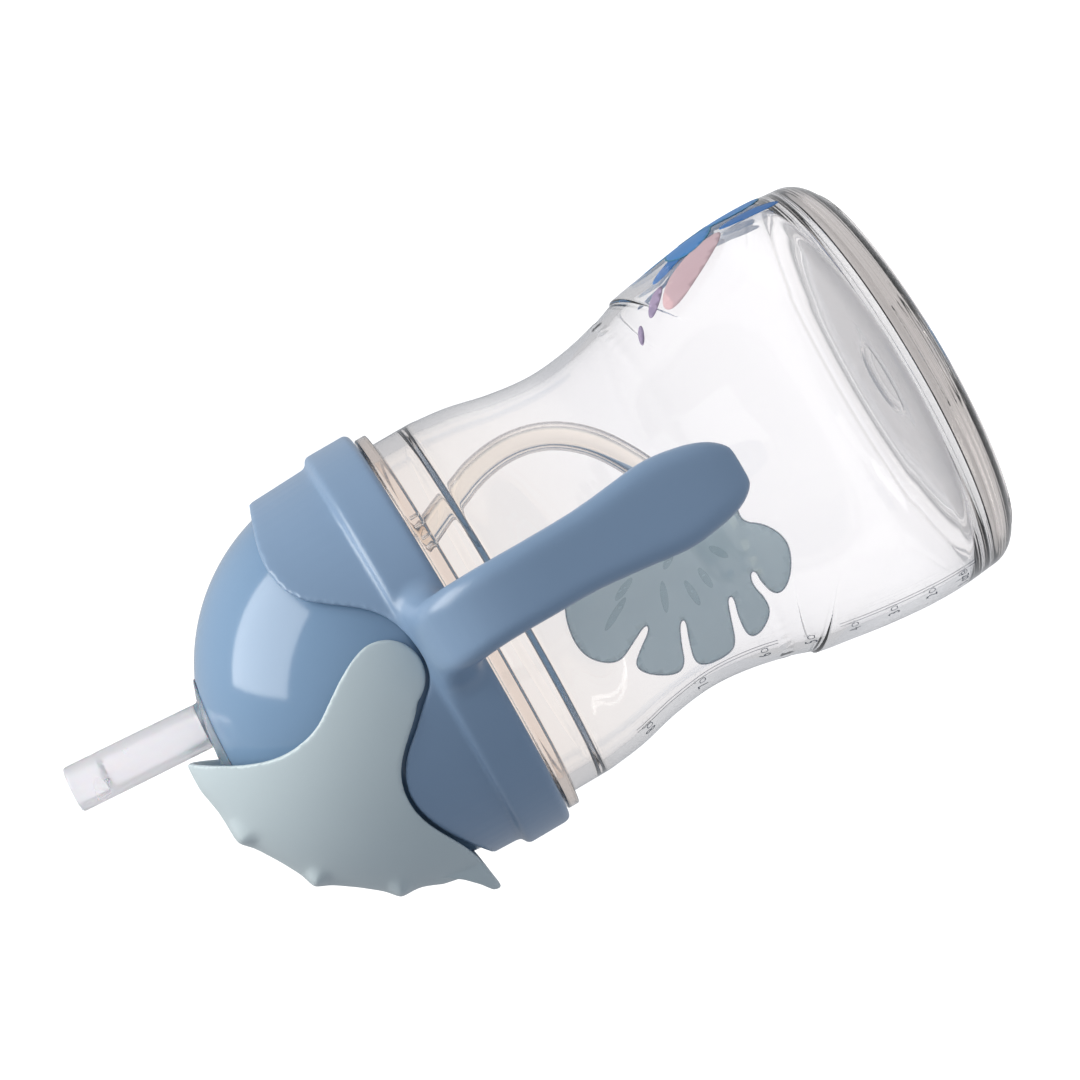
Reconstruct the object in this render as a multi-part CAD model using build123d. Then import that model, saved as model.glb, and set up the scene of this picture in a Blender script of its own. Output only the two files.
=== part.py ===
"""Toddler drinking bottle: clear waisted bottle, screw lid with two handles,
flip cover, folding silicone spout and a weighted straw.

Frame: millimetres, +Z up along the bottle's axis, origin on that axis in the plane
that the base stands on. The handles are on +X and -X, the front faces -Y, and the
flip cover stands open towards +Y.
"""

from build123d import *
import os
from math import cos, pi, radians, sin, tan

# ---------------------------------------------------------------- driving dimensions
# bottle
WALL = 2.0
BASE_Z = 2.6                 # height of the recess in the base
FLOOR_Z = 4.9                # inside floor
CONTACT_R = 33.6             # outer radius of the ring that it stands on
BARREL_TOP_Z = 43.5          # the crease between barrel and waist is highest here
NECK_Z = 79.0                # round from here up
NECK_R = 34.05
FLANGE_Z = (86.2, 89.0)
FLANGE_R = 36.2
FINISH_R = 33.2              # plain radius of the threaded mouth
MOUTH_R = 31.2
RIM_Z = 98.5

# the barrel's outside, upwards as (radius, z)
BARREL = [(37.3, 5.5), (37.9, 11), (38.0, 16), (37.3, 24), (36.0, 32), (34.4, 39.5), (33.0, 43.5)]
# the waist's outside, upwards as (z, half width across the handles, half width front to back)
WAIST = [
    (-1, 45.0, 48.2),
    (8, 42.5, 45.5),
    (16, 39.6, 42.6),
    (24, 37.2, 39.8),
    (33.5, 34.7, 36.7),
    (43.5, 31.6, 33.0),
    (50, 30.0, 31.5),
    (57, 29.6, 30.8),
    (65, 30.9, 31.6),
    (73, 33.1, 33.35),
    (79, 34.05, 34.05),
]

# screw thread
PITCH = 5.0
THREAD_HEIGHT = 1.25
THREAD_ROOT = 2.0            # width of a ridge where it leaves the wall
THREAD_CREST = 0.9
THREAD_SINK = 0.3            # how far a ridge reaches into its wall
BOTTLE_THREAD_Z = 91.4       # middle of the ridge where it starts
COLLAR_THREAD_Z = 90.9
BOTTLE_TURNS = 1.0
COLLAR_TURNS = 0.95

# collar, with its shroud and handles
BAND_R = 37.9
BAND_Z = (89.4, 98.2)
BAND_ROUND = 1.0
COLLAR_BORE_R = 34.9
LEDGE_R = 34.0
LEDGE_Z = 97.3
SHROUD_R = (36.4, 35.75)     # at the band and at the top
SHROUD_TOP_Z = 114.0
HANDLE_CORNER = 0.42         # corner radius as a share of the grip's thickness

# the shroud's wavy edge in side view, front to back as (y, z)
SHROUD_EDGE = [
    (-38.0, 109.3), (-31.5, 111.1), (-25.5, 112.5), (-21.2, 112.2), (-17.6, 110.7),
    (-14.8, 107.9), (-12.2, 104.5), (-9.4, 101.3), (-6.0, 99.2), (-2.6, 98.25),
    (1.0, 97.95), (4.4, 98.75), (7.4, 101.5), (10.5, 104.8), (13.3, 107.9),
    (16.0, 109.9), (19.3, 110.9), (23.0, 110.6), (29.2, 108.0), (38.0, 102.6),
]

# a grip's centre line and section, from the collar outwards and down:
# (x, z, direction in degrees below +X, width, thickness)
HANDLE = [
    (35.9, 93.8, 0, 22.0, 8.0),
    (38.6, 93.8, 0, 16.5, 7.6),
    (42.5, 93.5, 8, 13.8, 7.2),
    (48.0, 91.6, 34, 13.2, 7.0),
    (52.0, 87.2, 62, 13.2, 7.0),
    (53.7, 80.5, 82, 13.2, 7.0),
    (54.0, 70.0, 90, 13.2, 7.0),
    (54.0, 60.0, 90, 13.7, 7.0),
    (53.9, 53.0, 91, 14.6, 7.0),
    (53.7, 47.5, 92, 13.8, 6.8),
    (53.5, 43.3, 93, 11.0, 5.8),
    (53.4, 40.8, 93, 6.4, 3.4),
]

# dome
DOME_R = 34.6
DOME_Z = 101.4               # height of the sphere's centre
DOME_WALL = 1.8
SEAT_GAP = 0.15
SKIRT_Z = 97.75
SKIRT_BORE_R = 33.75
DOME_FLANGE_Z = (99.6, 101.2)
DOME_FLANGE_R = 30.6
SLOT_Y = -3.0                # centre of the spout's oval opening
SLOT_HALF = (9.5, 12.0)
VENT_ANGLE = 45              # degrees from +Z towards +Y, seen from the sphere's centre
VENT_HOLE_R = 1.6
VALVE_R = 4.0
VALVE_BUTTON_R = 2.2

# flip cover
HINGE_Y = 1.0
HINGE_Z = 104.6
COVER_R = 36.6
COVER_INNER_R = 35.3
LOBE_R = 6.1
STUD_R = 2.5
STUD_X = 35.8
SOCKET_GAP = 0.08            # radial
SOCKET_X = 35.95
RIB_ANGLES = (18.4, 41.0, 64.0)   # degrees from +Z towards +Y, seen from the hinge
RIB_RISE = 0.75
RIB_R = 5.0
TAB_HALF = 13.0              # half width of the thumb tab

# the cover's front edge in side view, from above its tip down to the hinge lobe, as (y, z)
COVER_FRONT = [
    (-3.7, 142.0), (-1.0, 136.8), (1.0, 133.0), (2.5, 129.3), (3.3, 125.6),
    (3.2, 122.0), (2.2, 118.4), (0.0, 114.9), (-2.5, 111.2), (-4.6, 107.0),
]
# and its rear edge, from the lobe over the shroud to the thumb tab
COVER_REAR = [
    (6.7, 102.3), (9.9, 105.3), (12.8, 108.4), (15.7, 110.5), (19.3, 111.5),
    (23.2, 111.2), (29.4, 108.5), (33.6, 106.7), (38.0, 105.9), (43.5, 104.9),
]
# the thumb tab in side view
TAB = [(30.0, 111.5), (35.0, 113.0), (36.9, 110.4), (39.3, 108.3), (41.6, 106.9),
       (42.0, 105.6), (38.0, 104.0), (30.0, 104.0)]

# silicone spout: its tube and its socket meet in the plug, and both lean towards -Y
SPOUT_Y = -7.2
SPOUT_Z = 134.0
SPOUT_LEAN = 4.0             # degrees, the tube upwards
SOCKET_LEAN = 9.0            # degrees, the socket downwards
SPOUT_R = 4.1
SPOUT_BORE_R = 2.6
SPOUT_LENGTH = 25.8          # from SPOUT_Z to the tip
PLUG_R = (31.9, 34.35)       # sphere radii between which the plug fills the opening
PLUG_GAP = 0.12
PLUG_FLANGE_R = (30.9, 32.72)
PLUG_FLANGE_HALF = (12.0, 14.5)
SOCKET_TUBE_R = 4.5
SOCKET_END = 16.0            # down the socket's axis

# straw connector, down the socket's axis
CONNECTOR_R = 2.55
CONNECTOR_BORE_R = 1.5
CONNECTOR_SPAN = (8.5, 29.0)
CONNECTOR_FLANGE = (16.05, 18.5)

# straw: the route of its middle line as (y, z), in the plane x = 0
TUBE_R = 2.5
ROUTE = [
    (-11.74, 105.35), (-12.97, 97.6), (-14.8, 89.5), (-19.2, 80.5), (-22.6, 70.5),
    (-21.6, 61.3), (-16.2, 53.8), (-8.2, 48.9), (-1.8, 46.6), (4.2, 45.7),
]

# weight on the straw's end, measured along the straw's last run from the tube's end
WEIGHT_R = 3.7
WEIGHT_SOCKET = 4.0
WEIGHT_CORE = (1.2, 8.2)
WEIGHT_CORE_R = (1.6, 2.9)
WEIGHT_SPLIT = 8.6
WEIGHT_END = 13.2
FIT_GAP = 0.05

# seal ring
SEAL_R = (31.0, 33.3)


# ---------------------------------------------------------------- helpers
def write(name, shape):
    """Write one node, and print its volume."""
    shape.label = name
    export_step(shape, f"parts/{name}.step")
    print(f"{name:16s} volume {shape.volume:9.1f} mm3")


def turned(*edges):
    """The solid of a closed outline in the XZ plane, turned round the bottle's axis."""
    return revolve(Plane.XZ * make_face([*edges]), Axis.Z, 360)


def polygon_turned(points):
    """The same, for straight lines through (radius, z) points."""
    return turned(*Polyline(*points, close=True).edges())


def plate(edges, half):
    """A closed side-view outline in (y, z), made that thick along X to each side."""
    return extrude(Plane.YZ * make_face(edges), half, both=True)


def ball(radius, y, z):
    return Pos(0, y, z) * Sphere(radius)


def cylinder_z(radius, z0, z1):
    return Pos(0, 0, (z0 + z1) / 2) * Cylinder(radius, z1 - z0)


def rod(plane, radius, start, end):
    """A round bar on a plane's axis, between two distances from the plane."""
    bar = Cylinder(radius, end - start, align=(Align.CENTER, Align.CENTER, Align.MIN))
    return plane * Pos(0, 0, start) * bar


def leaning(y, z, angle, up=1):
    """A plane across x = 0 whose axis leans by that angle from +Z, or from -Z, towards +Y."""
    tilt = radians(angle)
    return Plane(origin=(0, y, z), x_dir=(1, 0, 0), z_dir=(0, sin(tilt), up * cos(tilt)))


def thread(radius, z, start_angle, turns, outward):
    """One screw ridge on a wall of that radius, its middle starting at height z."""
    out = 1 if outward else -1
    root = THREAD_ROOT / 2
    crest = THREAD_CREST / 2
    foot = radius - out * THREAD_SINK
    tip = radius + out * THREAD_HEIGHT
    outline = Polyline(
        (foot, -root), (radius, -root), (tip, -crest), (tip, crest), (radius, root), (foot, root),
        close=True,
    )
    path = Helix(pitch=PITCH, height=PITCH * turns, radius=radius)
    ridge = sweep(Plane.XZ * make_face(outline), path=path, is_frenet=True)
    return Pos(0, 0, z) * Rot(0, 0, start_angle) * ridge


# ---------------------------------------------------------------- bottle
def barrel(inset):
    """The round lower part as a full solid, its side inset from the outside."""
    side = [(r - inset, z) for r, z in BARREL]
    if inset:
        side = side[1:]
        floor = Line((0, FLOOR_Z), (30.0, FLOOR_Z))
        corner = ThreePointArc((30.0, FLOOR_Z), (34.0, 6.6), side[0])
        bottom = [floor, corner]
    else:
        recess = Polyline((0, BASE_Z), (28.5, BASE_Z), (31.6, 0.5), (32.3, 0), (CONTACT_R, 0))
        corner = ThreePointArc((CONTACT_R, 0), (36.3, 1.9), side[0])
        bottom = [*recess.edges(), corner]
    wall = Spline(*side)
    top = Line(side[-1], (0, BARREL_TOP_Z))
    axis = Line((0, BARREL_TOP_Z), bottom[0] @ 0)
    return turned(*bottom, wall, top, axis)


def waist(inset):
    """The waisted upper part as a full solid, slightly oval at its narrowest."""
    return loft([Pos(0, 0, z) * Ellipse(a - inset, b - inset) for z, a, b in WAIST])


def bottle_body(inset):
    """Barrel and waist together: the waist cuts the barrel below the crease."""
    whole_waist = waist(inset)
    upper = split(whole_waist, Plane.XY.offset(BARREL_TOP_Z), keep=Keep.TOP)
    return (barrel(inset) & whole_waist) + upper


def bottle():
    neck = polygon_turned([
        (0, NECK_Z), (NECK_R, NECK_Z), (NECK_R, FLANGE_Z[0]), (FLANGE_R, FLANGE_Z[0]),
        (FLANGE_R, FLANGE_Z[1]), (FINISH_R, FLANGE_Z[1]), (FINISH_R, RIM_Z), (0, RIM_Z),
    ])
    inner_r = NECK_R - WALL
    mouth = polygon_turned([
        (0, NECK_Z), (inner_r, NECK_Z), (inner_r, FLANGE_Z[0] - 2), (MOUTH_R, FLANGE_Z[1] - 1),
        (MOUTH_R, RIM_Z), (0, RIM_Z),
    ])
    body = bottle_body(0) + neck
    ridge = thread(FINISH_R, BOTTLE_THREAD_Z, 0, BOTTLE_TURNS, outward=True)
    return body - (bottle_body(WALL) + mouth) + ridge


# ---------------------------------------------------------------- collar
def handle(side):
    """One grip, flared where it grows out of the band; side is +1 or -1."""
    sections = []
    for x, z, below, width, thickness in HANDLE:
        across = Vector(cos(radians(below)), 0, -sin(radians(below)))
        plane = Plane(origin=(x, 0, z), x_dir=(0, 1, 0), z_dir=across)
        sections.append(plane * RectangleRounded(width, thickness, HANDLE_CORNER * thickness))
    grip = loft(sections)
    return grip if side > 0 else mirror(grip, Plane.YZ)


def collar():
    shell = polygon_turned([
        (0, BAND_Z[0]), (BAND_R, BAND_Z[0]), (BAND_R, BAND_Z[1]), (SHROUD_R[0], BAND_Z[1]),
        (SHROUD_R[1], SHROUD_TOP_Z), (0, SHROUD_TOP_Z),
    ])
    corners = [e for e in shell.edges().filter_by(GeomType.CIRCLE) if abs(e.radius - BAND_R) < 0.01]
    shell = fillet(corners, BAND_ROUND)
    above = [
        *Spline(*SHROUD_EDGE).edges(),
        *Polyline(SHROUD_EDGE[-1], (38, 120), (-38, 120), SHROUD_EDGE[0]).edges(),
    ]
    shell -= plate(above, 40)
    seat_r = DOME_R + SEAT_GAP
    shell -= cylinder_z(COLLAR_BORE_R, BAND_Z[0], LEDGE_Z)
    shell -= cylinder_z(LEDGE_R, LEDGE_Z, SKIRT_Z)
    shell -= cylinder_z(seat_r, SKIRT_Z, DOME_Z)
    shell -= ball(seat_r, 0, DOME_Z)
    below_bottle_thread = BOTTLE_THREAD_Z - PITCH / 2
    start = 360 * (COLLAR_THREAD_Z - below_bottle_thread) / PITCH
    shell += thread(COLLAR_BORE_R, COLLAR_THREAD_Z, start, COLLAR_TURNS, outward=False)
    return shell + handle(1) + handle(-1)


# ---------------------------------------------------------------- dome
def oval(half_x, half_y):
    """An upright oval prism through the top of the dome."""
    return Pos(0, SLOT_Y, DOME_Z + DOME_R / 2) * extrude(Ellipse(half_x, half_y), DOME_R)


def hinge(side):
    """On the hinge's axis at x = 0, facing outwards; side is +1 or -1."""
    return Plane(origin=(0, HINGE_Y, HINGE_Z), x_dir=(0, 1, 0), z_dir=(side, 0, 0))


def dome():
    top = split(ball(DOME_R, 0, DOME_Z), Plane.XY.offset(DOME_Z), keep=Keep.TOP)
    shell = top + cylinder_z(DOME_R, SKIRT_Z, DOME_Z)
    for side in (1, -1):
        shell += rod(hinge(side), STUD_R, 30, STUD_X)
    inner_r = DOME_R - DOME_WALL
    hollow = split(ball(inner_r, 0, DOME_Z), Plane.XY.offset(DOME_FLANGE_Z[1]), keep=Keep.TOP)
    shell -= hollow
    shell -= cylinder_z(DOME_FLANGE_R, SKIRT_Z, DOME_Z)
    shell -= cylinder_z(SKIRT_BORE_R, SKIRT_Z, DOME_FLANGE_Z[0])
    shell -= oval(*SLOT_HALF)
    return shell - rod(vent_plane(), VENT_HOLE_R, inner_r - 2, DOME_R + 2)


def vent_plane():
    """At the sphere's centre, facing the vent."""
    return leaning(0, DOME_Z, VENT_ANGLE)


def vent_valve():
    inner_r = DOME_R - DOME_WALL
    umbrella = rod(vent_plane(), VALVE_R, inner_r - 1.3, inner_r - 0.4)
    stem = rod(vent_plane(), VENT_HOLE_R - 0.1, inner_r - 0.4, DOME_R + 0.3)
    return umbrella + stem + rod(vent_plane(), VALVE_BUTTON_R, DOME_R + 0.3, DOME_R + 1.2)


# ---------------------------------------------------------------- flip cover
def flip_cover():
    lobe_start = COVER_FRONT[-1]
    lobe_end = COVER_REAR[0]
    lobe = ThreePointArc(lobe_start, (HINGE_Y, HINGE_Z - LOBE_R), lobe_end)
    outline = [
        *Spline(*COVER_FRONT).edges(),
        lobe,
        *Spline(*COVER_REAR).edges(),
        *Polyline(COVER_REAR[-1], (46, 120), (20, 146), COVER_FRONT[0]).edges(),
    ]
    outside = ball(COVER_R, HINGE_Y, HINGE_Z)
    for angle in RIB_ANGLES:
        reach = COVER_R + RIB_RISE - RIB_R
        bump_y = HINGE_Y + reach * sin(radians(angle))
        bump_z = HINGE_Z + reach * cos(radians(angle))
        outside += ball(RIB_R, bump_y, bump_z)
    tab = plate(Polyline(*TAB, close=True).edges(), TAB_HALF)
    tab &= Pos(0, 29, 108) * Cylinder(TAB_HALF, 30)
    outside += tab
    cover = outside & plate(outline, 40)
    cover -= ball(COVER_INNER_R, HINGE_Y, HINGE_Z)
    for side in (1, -1):
        cover -= rod(hinge(side), STUD_R + SOCKET_GAP, 30, SOCKET_X)
    return cover


# ---------------------------------------------------------------- spout and straw
def spout_plane():
    return leaning(SPOUT_Y, SPOUT_Z, -SPOUT_LEAN)


def socket_plane():
    return leaning(SPOUT_Y, SPOUT_Z, -SOCKET_LEAN, up=-1)


def spout():
    opening = oval(SLOT_HALF[0] - PLUG_GAP, SLOT_HALF[1] - PLUG_GAP)
    plug = opening & (ball(PLUG_R[1], 0, DOME_Z) - ball(PLUG_R[0], 0, DOME_Z))
    flange_shell = ball(PLUG_FLANGE_R[1], 0, DOME_Z) - ball(PLUG_FLANGE_R[0], 0, DOME_Z)
    body = plug + (oval(*PLUG_FLANGE_HALF) & flange_shell)
    body += rod(spout_plane(), SPOUT_R, -1, SPOUT_LENGTH)
    body += rod(socket_plane(), SOCKET_TUBE_R, 0, SOCKET_END)
    body -= rod(spout_plane(), SPOUT_BORE_R, 0, SPOUT_LENGTH + 1)
    return body - rod(socket_plane(), SPOUT_BORE_R, -1, SOCKET_END + 1)


def straw_connector():
    axis = socket_plane()
    body = rod(axis, CONNECTOR_R, *CONNECTOR_SPAN) + rod(axis, SOCKET_TUBE_R, *CONNECTOR_FLANGE)
    return body - rod(axis, CONNECTOR_BORE_R, CONNECTOR_SPAN[0] - 1, CONNECTOR_SPAN[1] + 1)


def straw_tube():
    """Straight runs joined by tangent arcs, each as large as its two runs allow."""
    points = [Vector(0, y, z) for y, z in ROUTE]
    radii = []
    for before, here, after in zip(points, points[1:], points[2:]):
        turn = (here - before).get_angle(after - here)
        shorter = min((here - before).length, (after - here).length)
        radii.append(0.45 * shorter / tan(radians(turn / 2)))
    print("straw radii", [round(r, 1) for r in radii])
    path = FilletPolyline(*points, radius=radii)
    start = Plane(origin=path @ 0, z_dir=path % 0)
    tube = sweep(start * Circle(TUBE_R), path=path)
    section = pi * TUBE_R**2
    print(f"straw length {path.length:.1f} mm, section times length {path.length * section:.0f} mm3")
    return tube


def weight_plane():
    """The plane across the straw's end, facing away from the straw."""
    (y0, z0), (y1, z1) = ROUTE[-2:]
    return Plane(origin=(0, y1, z1), x_dir=(1, 0, 0), z_dir=(0, y1 - y0, z1 - z0))


def weight_sleeve():
    axis = weight_plane()
    body = rod(axis, WEIGHT_R, -WEIGHT_SOCKET, WEIGHT_SPLIT)
    body -= rod(axis, TUBE_R + FIT_GAP, -WEIGHT_SOCKET, 0)
    body -= rod(axis, WEIGHT_CORE_R[0], 0, WEIGHT_CORE[0])
    return body - rod(axis, WEIGHT_CORE_R[1] + FIT_GAP, WEIGHT_CORE[0], WEIGHT_SPLIT)


def weight_core():
    inner, outer = WEIGHT_CORE_R
    return rod(weight_plane(), outer, *WEIGHT_CORE) - rod(weight_plane(), inner, *WEIGHT_CORE)


def weight_nose():
    axis = weight_plane()
    tip = WEIGHT_END - WEIGHT_R
    body = rod(axis, WEIGHT_R, WEIGHT_SPLIT, tip) + axis * Pos(0, 0, tip) * Sphere(WEIGHT_R)
    body -= rod(axis, WEIGHT_R + 1, 0, WEIGHT_SPLIT)
    return body - rod(axis, WEIGHT_CORE_R[0], WEIGHT_SPLIT - 1, WEIGHT_END + 1)


def seal_ring():
    low = RIM_Z
    high = DOME_FLANGE_Z[0]
    inner, outer = SEAL_R
    return polygon_turned([(inner, low), (outer, low), (outer, high), (inner, high)])


NODES = {
    "bottle": bottle,
    "collar": collar,
    "dome": dome,
    "vent_valve": vent_valve,
    "flip_cover": flip_cover,
    "spout": spout,
    "straw_connector": straw_connector,
    "straw_tube": straw_tube,
    "weight_sleeve": weight_sleeve,
    "weight_core": weight_core,
    "weight_nose": weight_nose,
    "seal_ring": seal_ring,
}

os.makedirs("parts", exist_ok=True)
for node_name, make in NODES.items():
    write(node_name, make())
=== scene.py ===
"""Looks of the toddler drinking bottle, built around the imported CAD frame.

Frame: the CAD's own, in metres. Shapes are worked out in millimetres until a mesh is made,
where MM turns them into metres; materials, lights and the floor are in metres. The bottle's
axis is +Z, the handles are on +X and -X, the front faces -Y, and the flip cover stands open
towards +Y.
"""

from itertools import product
from math import cos, pi, radians, sin, tau

import bmesh
import bpy
import numpy as np
from mathutils import Matrix, Vector
from mathutils.geometry import delaunay_2d_cdt


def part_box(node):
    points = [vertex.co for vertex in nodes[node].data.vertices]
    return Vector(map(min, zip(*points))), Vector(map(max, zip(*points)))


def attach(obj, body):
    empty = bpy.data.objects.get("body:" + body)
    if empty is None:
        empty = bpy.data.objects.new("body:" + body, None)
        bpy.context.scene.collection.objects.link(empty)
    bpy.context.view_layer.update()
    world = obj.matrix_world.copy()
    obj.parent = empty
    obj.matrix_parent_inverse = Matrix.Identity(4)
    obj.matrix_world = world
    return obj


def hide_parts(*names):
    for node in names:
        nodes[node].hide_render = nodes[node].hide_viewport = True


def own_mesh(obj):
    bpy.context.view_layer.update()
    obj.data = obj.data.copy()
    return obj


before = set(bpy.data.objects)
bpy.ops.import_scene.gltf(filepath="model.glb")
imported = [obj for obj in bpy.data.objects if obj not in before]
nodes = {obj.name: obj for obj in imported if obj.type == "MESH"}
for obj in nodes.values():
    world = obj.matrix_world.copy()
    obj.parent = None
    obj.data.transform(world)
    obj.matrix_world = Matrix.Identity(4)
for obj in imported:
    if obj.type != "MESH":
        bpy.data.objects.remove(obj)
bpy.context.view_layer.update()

MM = 0.001

# ---- camera
CAMERA_TARGET = Vector((0, -5.7, 70.0)) * MM
CAMERA_DISTANCE = 560 * MM
CAMERA_RISE = radians(3.85)
CAMERA_ROLL = radians(-120.3)
CAMERA_LENS = 109.2


def make_camera():
    """Looks along +X from the left handle's side, a little from above, and rolled."""
    data = bpy.data.cameras.new("camera")
    data.lens = CAMERA_LENS
    data.sensor_width = 36
    data.clip_start = 0.01
    data.clip_end = 50
    away = Vector((-cos(CAMERA_RISE), 0, sin(CAMERA_RISE)))
    ahead = -away
    level = ahead.cross(Vector((0, 0, 1))).normalized()
    upright = level.cross(ahead)
    right = cos(CAMERA_ROLL) * level + sin(CAMERA_ROLL) * upright
    up = -sin(CAMERA_ROLL) * level + cos(CAMERA_ROLL) * upright
    turn = Matrix((right, up, away)).transposed()
    camera = bpy.data.objects.new("camera", data)
    camera.matrix_world = Matrix.Translation(CAMERA_TARGET + CAMERA_DISTANCE * away) @ turn.to_4x4()
    bpy.context.scene.collection.objects.link(camera)
    bpy.context.scene.camera = camera


# ---- mesh helpers
SAME_POINT = 1e-7  # metres


def new_piece(name, mesh):
    """A new object in the scene, from a mesh or a curve."""
    piece = bpy.data.objects.new(name, mesh)
    bpy.context.scene.collection.objects.link(piece)
    return piece


def mesh_of(name, points, faces):
    """A smooth-shaded mesh from points in millimetres, with coincident points merged."""
    mesh = bpy.data.meshes.new(name)
    mesh.from_pydata([tuple(p) for p in np.asarray(points, float) * MM], [], faces)
    bm = bmesh.new()
    bm.from_mesh(mesh)
    bmesh.ops.remove_doubles(bm, verts=bm.verts, dist=SAME_POINT)
    bmesh.ops.recalc_face_normals(bm, faces=bm.faces)
    bm.to_mesh(mesh)
    bm.free()
    mesh.polygons.foreach_set("use_smooth", [True] * len(mesh.polygons))
    return new_piece(name, mesh)


def grid_faces(rows, columns, wrap_rows=False):
    """Quads of a grid whose columns close on themselves."""
    faces = []
    for r in range(rows if wrap_rows else rows - 1):
        below = r * columns
        above = ((r + 1) % rows) * columns
        for c in range(columns):
            d = (c + 1) % columns
            faces.append((below + c, below + d, above + d, above + c))
    return faces


def ring_piece(name, rows, wrap_rows=False):
    """A closed skin through rings of points; rows has shape (rings, points, 3)."""
    rings, columns, _ = rows.shape
    return mesh_of(name, rows.reshape(-1, 3), grid_faces(rings, columns, wrap_rows))


def finish_piece(piece, body, material, replaces=()):
    """Puts a piece on its body, with its finish."""
    piece.data.materials.clear()
    piece.data.materials.append(material)
    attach(piece, body)
    if replaces:
        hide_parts(*replaces)


def curve_at(points, x):
    """A smooth curve through (x, y) points, worked out at x."""
    xs, ys = np.asarray(points, float).T
    slopes = np.gradient(ys, xs)
    i = np.clip(np.searchsorted(xs, x) - 1, 0, len(xs) - 2)
    step = xs[i + 1] - xs[i]
    t = (x - xs[i]) / step
    near = (2 * t**3 - 3 * t**2 + 1) * ys[i] + (t**3 - 2 * t**2 + t) * step * slopes[i]
    far = (3 * t**2 - 2 * t**3) * ys[i + 1] + (t**3 - t**2) * step * slopes[i + 1]
    return near + far


def smooth_min(a, b, width):
    """The lesser of two surfaces, rounded where they cross."""
    h = np.clip(0.5 + 0.5 * (b - a) / width, 0, 1)
    return b + (a - b) * h - width * h * (1 - h)


def fade(value, start, end):
    """0 to 1 in a straight line as the value goes from start to end."""
    return np.clip((value - start) / (end - start), 0, 1)


def bell(value, width, power=2):
    """1 at 0 and falling away over that width; a higher power has a flatter top."""
    return np.exp(-((np.abs(value) / width) ** power))


def arc(centre, radius, start, end, count):
    """(u, v) points on an arc, angles in degrees."""
    angles = np.radians(np.linspace(start, end, count))
    return np.stack([centre[0] + radius * np.cos(angles), centre[1] + radius * np.sin(angles)], -1)


# ---- materials
def material(name, color, roughness, **sockets):
    """A material with its Principled shader; sockets are set by name, _ for a space."""
    mat = bpy.data.materials.new(name)
    mat.use_nodes = True
    shader = mat.node_tree.nodes["Principled BSDF"]
    shader.inputs["Base Color"].default_value = (*color, 1)
    shader.inputs["Roughness"].default_value = roughness
    for key, value in sockets.items():
        shader.inputs[key.replace("_", " ")].default_value = value
    return mat, mat.node_tree, shader


def node(tree, kind, **settings):
    """A new shader node; settings that start with in_ are its inputs, the others its properties."""
    made = tree.nodes.new(kind)
    for key, value in settings.items():
        if key.startswith("in_"):
            made.inputs[key[3:].replace("_", " ")].default_value = value
        else:
            setattr(made, key, value)
    return made


def link(source, target):
    """Joins two sockets of a node tree."""
    source.id_data.links.new(source, target)


def noise_texture(tree, scale, detail):
    """The output of a noise texture that stays with the object."""
    place = node(tree, "ShaderNodeTexCoord")
    texture = node(tree, "ShaderNodeTexNoise", in_Scale=scale, in_Detail=detail)
    link(place.outputs["Object"], texture.inputs["Vector"])
    return texture.outputs["Fac"]


def add_bump(tree, shader, source, distance):
    """Gives the surface a fine relief from a texture, of that depth in metres."""
    bump = node(tree, "ShaderNodeBump", in_Distance=distance)
    link(source, bump.inputs["Height"])
    link(bump.outputs["Normal"], shader.inputs["Normal"])


NOISE_LOW = 0.3  # most of a noise texture's values lie between these two
NOISE_HIGH = 0.7


def vary(tree, shader, socket, source, low, high):
    """Drives a shader socket from a noise texture, between two values."""
    spread = node(tree, "ShaderNodeMapRange", in_To_Min=low, in_To_Max=high)
    spread.inputs["From Min"].default_value = NOISE_LOW
    spread.inputs["From Max"].default_value = NOISE_HIGH
    link(source, spread.inputs["Value"])
    link(spread.outputs["Result"], shader.inputs[socket])


def shade_between(tree, shader, source, shades, ends):
    """Colours a shader by a value: the first shade up to the first end, the second from the second."""
    ramp = node(tree, "ShaderNodeValToRGB")
    for element, shade, end in zip(ramp.color_ramp.elements, shades, ends):
        element.color = (*shade, 1)
        element.position = end
    link(source, ramp.inputs["Fac"])
    link(ramp.outputs["Color"], shader.inputs["Base Color"])
    return ramp.outputs["Color"]


PAINTED_GLOW_THROUGH = 0.42  # painted glow: how much light the lid's wall gives off in its own colour, seen from inside the bottle


def moulded_plastic(name, color, darker, roughness, grain, **sockets):
    """Injection-moulded plastic: fine grain, faint flow clouds and uneven polish.

    Seen through the clear bottle it has a painted glow: it gives off light in its own colour, though no lamp
    is behind it.
    """
    mat, tree, shader = material(name, color, roughness, **sockets)
    clouds = noise_texture(tree, scale=45, detail=2)
    shade = shade_between(tree, shader, clouds, (darker, color), (0.35, 0.65))
    vary(tree, shader, "Roughness", clouds, roughness * 0.92, roughness * 1.08)
    add_bump(tree, shader, noise_texture(tree, scale=2600, detail=4), grain)
    # painted glow: emission in the plastic's own colour, only for rays that came through a clear wall
    path = node(tree, "ShaderNodeLightPath")
    glow = node(tree, "ShaderNodeMath", operation="MULTIPLY")
    glow.inputs[1].default_value = PAINTED_GLOW_THROUGH
    link(path.outputs["Is Transmission Ray"], glow.inputs[0])
    link(shade, shader.inputs["Emission Color"])
    link(glow.outputs[0], shader.inputs["Emission Strength"])
    return mat


# painted glow: past this depth a clear wall gives off a fixed grey instead of tracing light on
PAINTED_GLOW_AFTER = 7.5  # bounces
PAINTED_GLOW_GREY = (0.42, 0.44, 0.48, 1)


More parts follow.
